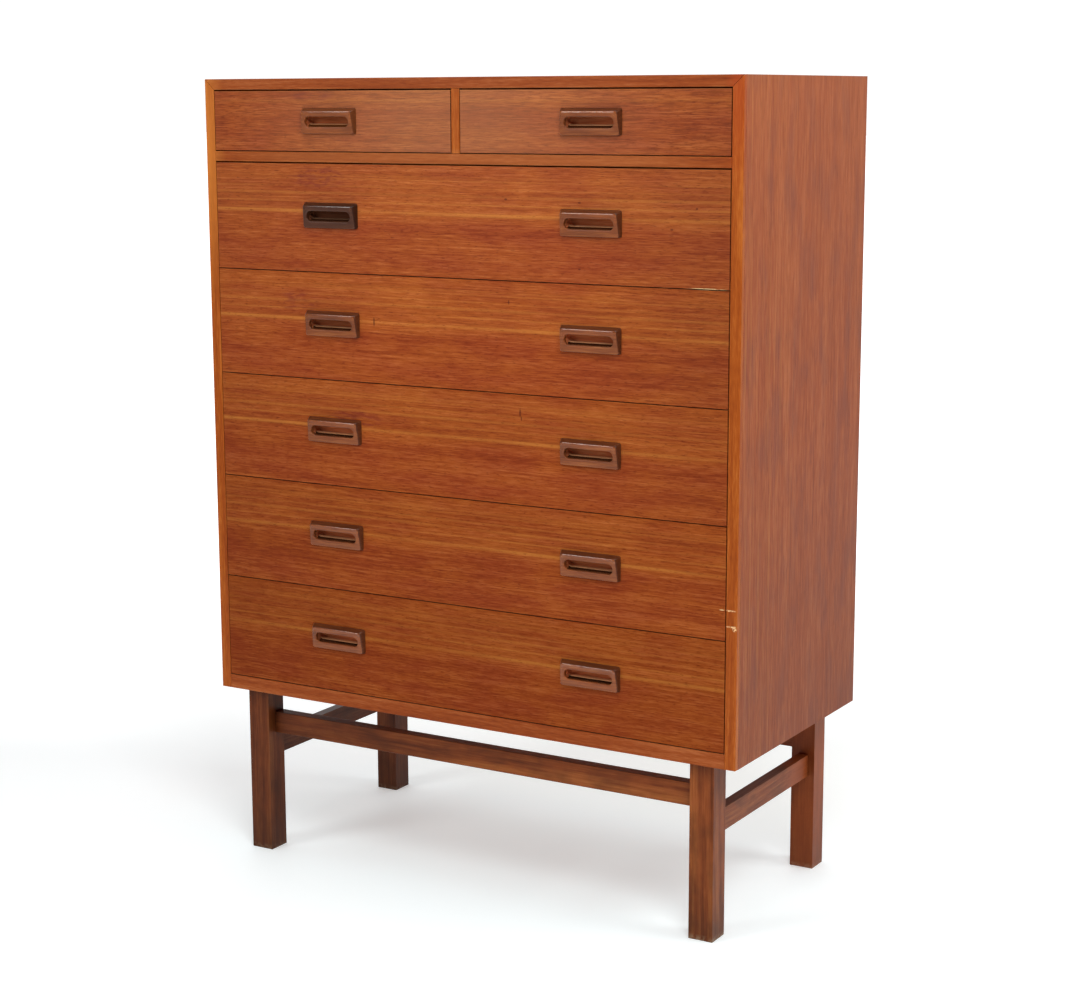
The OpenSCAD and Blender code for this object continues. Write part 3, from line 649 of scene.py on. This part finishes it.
def pull_columns():
    """Lines of points that run from the hidden back of a pull over its wall, its rounded edge and
    its face, and down into the slot: one line for each point around."""
    foot = ring(WIDE, TALL, CORNER, TALL / 2)
    brow = ring(WIDE - 2 * END_IN, TALL - LIP_IN, CORNER, (TALL - LIP_IN) / 2)
    rim = ring(SLOT_WIDE, SLOT_TALL, SLOT_END, SLOT_MIDDLE)
    wide_rim = ring(SLOT_WIDE + 2 * RIM, SLOT_TALL + 2 * RIM, SLOT_END + RIM, SLOT_MIDDLE)
    centre = Vector((0, 0, SLOT_MIDDLE))
    columns = []
    for base, edge, hole, around in zip(foot, brow, rim, wide_rim):
        stand = face_depth(edge.z)
        edge.x = base.x * (1 - 2 * END_IN * stand / LIP / WIDE)
        edge.y = -stand
        on_wall = edge + (base - edge).normalized() * DOWN_WALL
        reach = IN_FROM_LIP if edge.z > TALL / 2 else IN_ELSEWHERE
        on_face = edge + flat_way(edge, around) * reach
        on_face.y = -face_depth(on_face.z)
        around.y = -face_depth(around.z)
        hole.y = -face_depth(hole.z)
        column = [Vector((base.x, INSET, base.z)), base]
        column += curve(on_wall, edge, on_face, EDGE_BENDS)
        bend = hole + Vector((0, RIM_BEND, 0))
        inner_edge = hole + Vector((0, RIM_DEEP, 0))
        column += curve(around, bend, inner_edge, RIM_BENDS)
        out = flat_way(centre, hole)
        for depth, outward, upward in HOLLOW_RINGS:
            column.append(Vector((hole.x, depth, hole.z + upward)) + out * outward)
        columns.append(column)
    return columns


def band_finish(column, k):
    """Which finish the faces beside a column have, k places from its start."""
    hollow = len(column) - len(HOLLOW_RINGS)
    below_slot = column[hollow].z < SLOT_MIDDLE - SLOT_TALL * 0.4
    if k < SHADED_EDGE_BAND:
        return SHADED_EDGE
    if k < LIP_BAND and column[0].z > TALL / 2:
        return POLISHED
    if k < hollow:
        return WAXED
    if below_slot and k < hollow + SHADED_RIM_BAND:
        return SHADED_RIM
    if below_slot and k < hollow + LIT_LEDGE_BAND:
        return LIT_LEDGE
    return LIT_HOLLOW


def carve(name, middle_x, under, node):
    """One pull, its lower edge at the height under, standing for its CAD node."""
    columns = pull_columns()
    build = bmesh.new()
    shift = Vector((middle_x, front_face, under))
    verts = [[build.verts.new(point + shift) for point in column] for column in columns]
    for i, column in enumerate(columns):
        here = verts[i]
        beside = verts[(i + 1) % len(verts)]
        for k in range(len(column) - 1):
            face = build.faces.new((here[k], here[k + 1], beside[k + 1], beside[k]))
            face.material_index = band_finish(column, k)
    build.faces.new([column[0] for column in verts])
    build.faces.new([column[-1] for column in verts][::-1]).material_index = LIT_HOLLOW
    bmesh.ops.remove_doubles(build, verts=build.verts, dist=0.00001)
    bmesh.ops.recalc_face_normals(build, faces=build.faces)
    for face in build.faces:
        face.smooth = len(face.verts) < 5
    mesh = bpy.data.meshes.new(name)
    build.to_mesh(mesh)
    build.free()
    for finish in FINISHES:
        mesh.materials.append(finish)
    piece = bpy.data.objects.new(name, mesh)
    bpy.context.scene.collection.objects.link(piece)
    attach(piece, node[:-len("_pulls")])
    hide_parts(node)


front_face = first[0][1]
for drawer in DRAWERS:
    node = drawer + "_pulls"
    corner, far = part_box(node)
    hands = [("", (corner[0] + far[0]) / 2)]
    if far[0] - corner[0] > 2 * WIDE:
        hands = [("_left", corner[0] + WIDE / 2), ("_right", far[0] - WIDE / 2)]
    for hand, x in hands:
        carve("carved_pull_" + drawer + hand, x, corner[2], node)

# ------------------------------------------------------------------ drawer boxes and runners
# Bare pale hardwood sides and backs, dovetailed into the fronts and hung on strips screwed to
# the case, with plywood bottoms let into grooves.


def bare_wood(name, along, seed):
    """Planed pale hardwood without a finish, slightly yellowed."""
    made, tree = material(name)
    way = waver(tree, grain(tree, along), 0.5, 0.01, seed)
    bands = marks(tree, way, 0.8, 0.02, seed + 1)
    fibres = marks(tree, way, 0.03, 0.0018, seed + 2)
    tone = weighed(tree, (bands, 1.2), (fibres, 0.6))
    colour = add(tree, "ValToRGB", {0: tone}, stops=[
        (0.1, srgb("A57B4C")), (0.5, srgb("C9A271")), (0.9, srgb("DBBB8C"))]).outputs[0]
    surface(tree, colour, 0.6, fibres, 0.0002, 0.35)
    return made


box_sides = bare_wood("planed pale hardwood, sides", "Y", 71.0)
box_backs = bare_wood("planed pale hardwood, backs", "X", 81.0)
dress([name + part for name in DRAWERS for part in ("_side_left", "_side_right")], box_sides)
dress(["drawer_runners"], box_sides)
dress([name + "_back" for name in DRAWERS], box_backs)
dress([name + "_bottom" for name in DRAWERS], ply)

# Zinc-plated steel: cool grey, with fine turned marks.
steel, tree = material("zinc-plated steel, countersunk screws")
place = add(tree, "TexCoord")
turned = add(tree, "TexNoise", {"Vector": place.outputs["Object"], "Scale": 900.0, "Detail": 2.0})
colour = add(tree, "Mix", {0: turned.outputs[0], 6: srgb("8F8B82"), 7: srgb("C4C0B6")},
             data_type="RGBA").outputs[2]
bump = add(tree, "Bump", {"Strength": 0.3, "Distance": 0.0001, "Height": turned.outputs[0]})
shader = add(tree, "BsdfPrincipled", {"Base Color": colour, "Metallic": 1.0, "Roughness": 0.35,
                                      "Normal": bump.outputs[0]})
add(tree, "OutputMaterial", {0: shader.outputs[0]})
dress(["runner_screws"], steel, 0.0002, 1)

# ------------------------------------------------------------------ base
# Four square legs with round spigots up into the case, and stretchers tenoned into them: a long
# one front and back, and a lower one on each side. Dark stained hardwood.


def stained(name, along, seed):
    """Stained hardwood: dark figure over warm brown, rubbed arrises, and painted shade where the parts
    round it close in. It is darker towards the left."""
    made, tree = material(name)
    way = waver(tree, grain(tree, along), 0.25, 0.014, seed)
    bands = marks(tree, way, 0.5, 0.016, seed + 1)
    streaks = marks(tree, way, 0.12, 0.004, seed + 2)
    fibres = marks(tree, way, 0.03, 0.0016, seed + 3)
    tone = weighed(tree, (bands, 1.1), (streaks, 0.8), (fibres, 0.5))
    colour = add(tree, "ValToRGB", {0: tone}, stops=[
        (0.1, srgb("52240E")), (0.5, srgb("86421C")), (0.9, srgb("A6602E"))]).outputs[0]
    blotch = marks(tree, way, 0.06, 0.032, seed + 4, 3.0)
    amount = add(tree, "MapRange", {0: blotch, 1: 0.46, 2: 0.66, 3: 0.0, 4: 0.5}).outputs[0]
    colour = add(tree, "Mix", {0: amount, 6: colour, 7: srgb("4A2512")}, data_type="RGBA").outputs[2]
    amount = add(tree, "MapRange", {0: blotch, 1: 0.42, 2: 0.28, 3: 0.0, 4: 0.35}).outputs[0]
    colour = add(tree, "Mix", {0: amount, 6: colour, 7: srgb("A4552A")}, data_type="RGBA").outputs[2]
    rubbed_and_highlit = worn(tree, 0.002)
    amount = add(tree, "Math", {0: rubbed_and_highlit, 1: 0.3}, operation="MULTIPLY").outputs[0]
    colour = add(tree, "Mix", {0: amount, 6: colour, 7: srgb("8A5838")}, data_type="RGBA").outputs[2]

    # Feet darker towards the floor and scuffed pale at the very bottom.
    place = add(tree, "TexCoord").outputs["Object"]
    foot_level = add(tree, "SeparateXYZ", {0: place}).outputs[2]
    scuffed = add(tree, "TexNoise", {"Vector": place, "Scale": 160.0, "Detail": 3.0}).outputs[0]
    scuffed = add(tree, "MapRange", {0: scuffed, 1: 0.40, 2: 0.60}).outputs[0]
    low_down = add(tree, "MapRange", {0: foot_level, 1: 0.009, 2: 0.001}).outputs[0]
    scuffed = add(tree, "Math", {0: scuffed, 1: low_down}, operation="MULTIPLY").outputs[0]
    amount = add(tree, "MapRange", {0: foot_level, 1: 0.07, 2: 0.01, 3: 0.0, 4: 0.3}).outputs[0]
    colour = add(tree, "Mix", {0: amount, 6: colour, 7: srgb("3C2416")}, data_type="RGBA").outputs[2]
    amount = add(tree, "Math", {0: scuffed, 1: 0.6}, operation="MULTIPLY").outputs[0]
    colour = add(tree, "Mix", {0: amount, 6: colour, 7: srgb("B09678")}, data_type="RGBA").outputs[2]

    # Darker towards the left, a redder back leg on the right, and painted shade in the sheltered
    # places.
    across = add(tree, "SeparateXYZ", {0: place}).outputs[0]
    amount = add(tree, "MapRange", {0: across, 1: -0.3, 2: 0.1, 3: 0.42, 4: 0.0}).outputs[0]
    colour = add(tree, "Mix", {0: amount, 6: colour, 7: srgb("2A120B")}, data_type="RGBA").outputs[2]
    redder = spot(tree, place, (0.39, 0.18, 0.13), (0.05, 0.1, 0.3), 0.2)
    amount = add(tree, "Math", {0: redder, 1: 0.35}, operation="MULTIPLY").outputs[0]
    colour = add(tree, "Mix", {0: amount, 6: colour, 7: srgb("B85A2C")}, data_type="RGBA").outputs[2]
    occlusion_shade = add(tree, "AmbientOcclusion", {"Distance": 0.35}, samples=6).outputs["AO"]
    amount = add(tree, "MapRange", {0: occlusion_shade, 1: 0.3, 2: 0.85, 3: 0.5, 4: 0.0}).outputs[0]
    colour = add(tree, "Mix", {0: amount, 6: colour, 7: srgb("1C0A05")}, data_type="RGBA").outputs[2]
    rough = add(tree, "MapRange", {0: tone, 1: 0, 2: 1, 3: 0.44, 4: 0.34}).outputs[0]
    surface(tree, colour, rough, fibres, 0.0002, 0.12)
    return made


dress(["front_leg_left", "front_leg_right", "back_leg_left", "back_leg_right"],
      stained("stained hardwood, upright", "Z", 91.0), 0.002, 3)
dress(["front_stretcher", "back_stretcher"],
      stained("stained hardwood, lengthwise", "X", 101.0), 0.001, 3)
dress(["side_stretcher_left", "side_stretcher_right"],
      stained("stained hardwood, front to back", "Y", 111.0), 0.001, 3)

# ------------------------------------------------------------------ floor and light
# A plain white studio floor under large soft lights. It glows faintly towards the background,
# so that no horizon shows and only a soft grey shadow is left under the case. To either side of
# the view it turns grey, which keeps stray light off the front.

# The camera looks along AWAY, from STAND_OFF metres in front of the middle of the floor.
AWAY = (-0.512, 0.859, 0.0)
ACROSS = (0.859, 0.512, 0.0)
STAND_OFF = 3.32
paint, tree = material("matt white studio floor")
place = add(tree, "TexCoord")
faint = add(tree, "TexNoise", {"Vector": place.outputs["Object"], "Scale": 1.5, "Detail": 3.0})
back = add(tree, "VectorMath", {0: place.outputs["Object"], 1: AWAY}, operation="DOT_PRODUCT")
aside = add(tree, "VectorMath", {0: place.outputs["Object"], 1: ACROSS}, operation="DOT_PRODUCT")
aside = add(tree, "Math", {0: aside.outputs["Value"]}, operation="ABSOLUTE").outputs[0]
depth = add(tree, "Math", {0: back.outputs["Value"], 1: STAND_OFF}, operation="ADD").outputs[0]
spread = add(tree, "Math", {0: aside, 1: depth}, operation="DIVIDE").outputs[0]
lit = add(tree, "MapRange", {0: spread, 1: 0.32, 2: 0.90, 3: 1.0, 4: 0.45}).outputs[0]
colour = add(tree, "Mix", {0: faint.outputs[0], 6: srgb("EEF2F3"), 7: srgb("F5F9FA")},
             data_type="RGBA").outputs[2]
# Painted light: under the case the floor is a cooler white with a little more glow, which cancels the
# warm light bounced off the wood.
under = spot(tree, place.outputs["Object"], (0.05, -0.1, 0.0), (0.75, 0.6, 1.0), 0.7)
colour = add(tree, "Mix", {0: under, 6: colour, 7: srgb("EDFAFC")}, data_type="RGBA").outputs[2]
colour = add(tree, "Mix", {0: lit, 6: srgb("909092"), 7: colour}, data_type="RGBA").outputs[2]
glow = add(tree, "MapRange", {0: back.outputs["Value"], 1: 0.6, 2: 2.4, 3: 0.26, 4: 1.0}).outputs[0]
glow = add(tree, "Math", {0: under, 1: 0.03, 2: glow}, operation="MULTIPLY_ADD").outputs[0]
glow = add(tree, "Math", {0: glow, 1: lit}, operation="MULTIPLY").outputs[0]
shader = add(tree, "BsdfPrincipled", {"Base Color": colour, "Roughness": 0.6, "Specular IOR Level": 0.2,
                                      "Emission Color": srgb("FFFFFF"), "Emission Strength": glow})
add(tree, "OutputMaterial", {0: shader.outputs[0]})
mesh = bpy.data.meshes.new("floor")
reach = 60.0
corners = [(-reach, -reach, 0), (reach, -reach, 0), (reach, reach, 0), (-reach, reach, 0)]
mesh.from_pydata(corners, [], [(0, 1, 2, 3)])
mesh.materials.append(paint)
floor = bpy.data.objects.new("floor", mesh)
bpy.context.scene.collection.objects.link(floor)

# The background is white behind the chest, softer round it and nearly dark on the other side.
world = bpy.data.worlds.new("studio")
bpy.context.scene.world = world
world.use_nodes = True
tree = world.node_tree
tree.nodes.clear()
place = add(tree, "TexCoord")
toward = add(tree, "VectorMath", {0: place.outputs["Generated"], 1: AWAY}, operation="DOT_PRODUCT")
fall = add(tree, "ValToRGB", {0: toward.outputs["Value"]}, stops=[
    (0.0, grey(0.03)), (0.28, grey(0.75)), (0.7, grey(0.75)), (0.9, grey(1))]).outputs[0]
bright = add(tree, "Math", {0: fall, 1: 1.06}, operation="MULTIPLY").outputs[0]
glow = add(tree, "Background", {0: grey(1), 1: bright})
add(tree, "OutputWorld", {0: glow.outputs[0]})


def softbox(name, place, aim, width, power):
    """A square soft light at place, turned to face aim."""
    light = bpy.data.lights.new(name, "AREA")
    light.shape = "SQUARE"
    light.size = width
    light.energy = power
    made = bpy.data.objects.new(name, light)
    made.location = place
    made.rotation_euler = (Vector(aim) - Vector(place)).to_track_quat("-Z", "Y").to_euler()
    bpy.context.scene.collection.objects.link(made)


softbox("overhead", (0.2, -1.0, 3.6), (0.2, -0.6, 0.0), 1.8, 28)
softbox("key", (-1.9, -3.4, 2.2), (0.0, 0.0, 1.0), 1.4, 44.5)
softbox("front fill", (1.7, -1.9, 2.7), (0.1, 0.0, 0.8), 1.2, 44)
softbox("side fill", (3.0, 0.6, 2.9), (0.4, 0.0, 0.9), 1.6, 46)
bpy.context.scene.view_settings.view_transform = "Standard"
bpy.context.scene.view_settings.look = "None"

# ------------------------------------------------------------------ camera
# At about the height of the chest's top, to the right of its middle, looking slightly down at the
# front and the right side.
lens = bpy.data.cameras.new("camera")
lens.lens = 73.859
lens.sensor_width = 36.0
lens.clip_start = 0.05
lens.clip_end = 200.0
camera = bpy.data.objects.new("camera", lens)
turn = Matrix.Rotation(math.radians(30.7858), 4, "Z")
tilt = Matrix.Rotation(math.radians(90 - 10.4272), 4, "X")
roll = Matrix.Rotation(math.radians(-0.2118), 4, "Z")
camera.matrix_world = Matrix.Translation((1.69975, -2.84679, 1.18295)) @ turn @ tilt @ roll
bpy.context.scene.collection.objects.link(camera)
bpy.context.scene.camera = camera
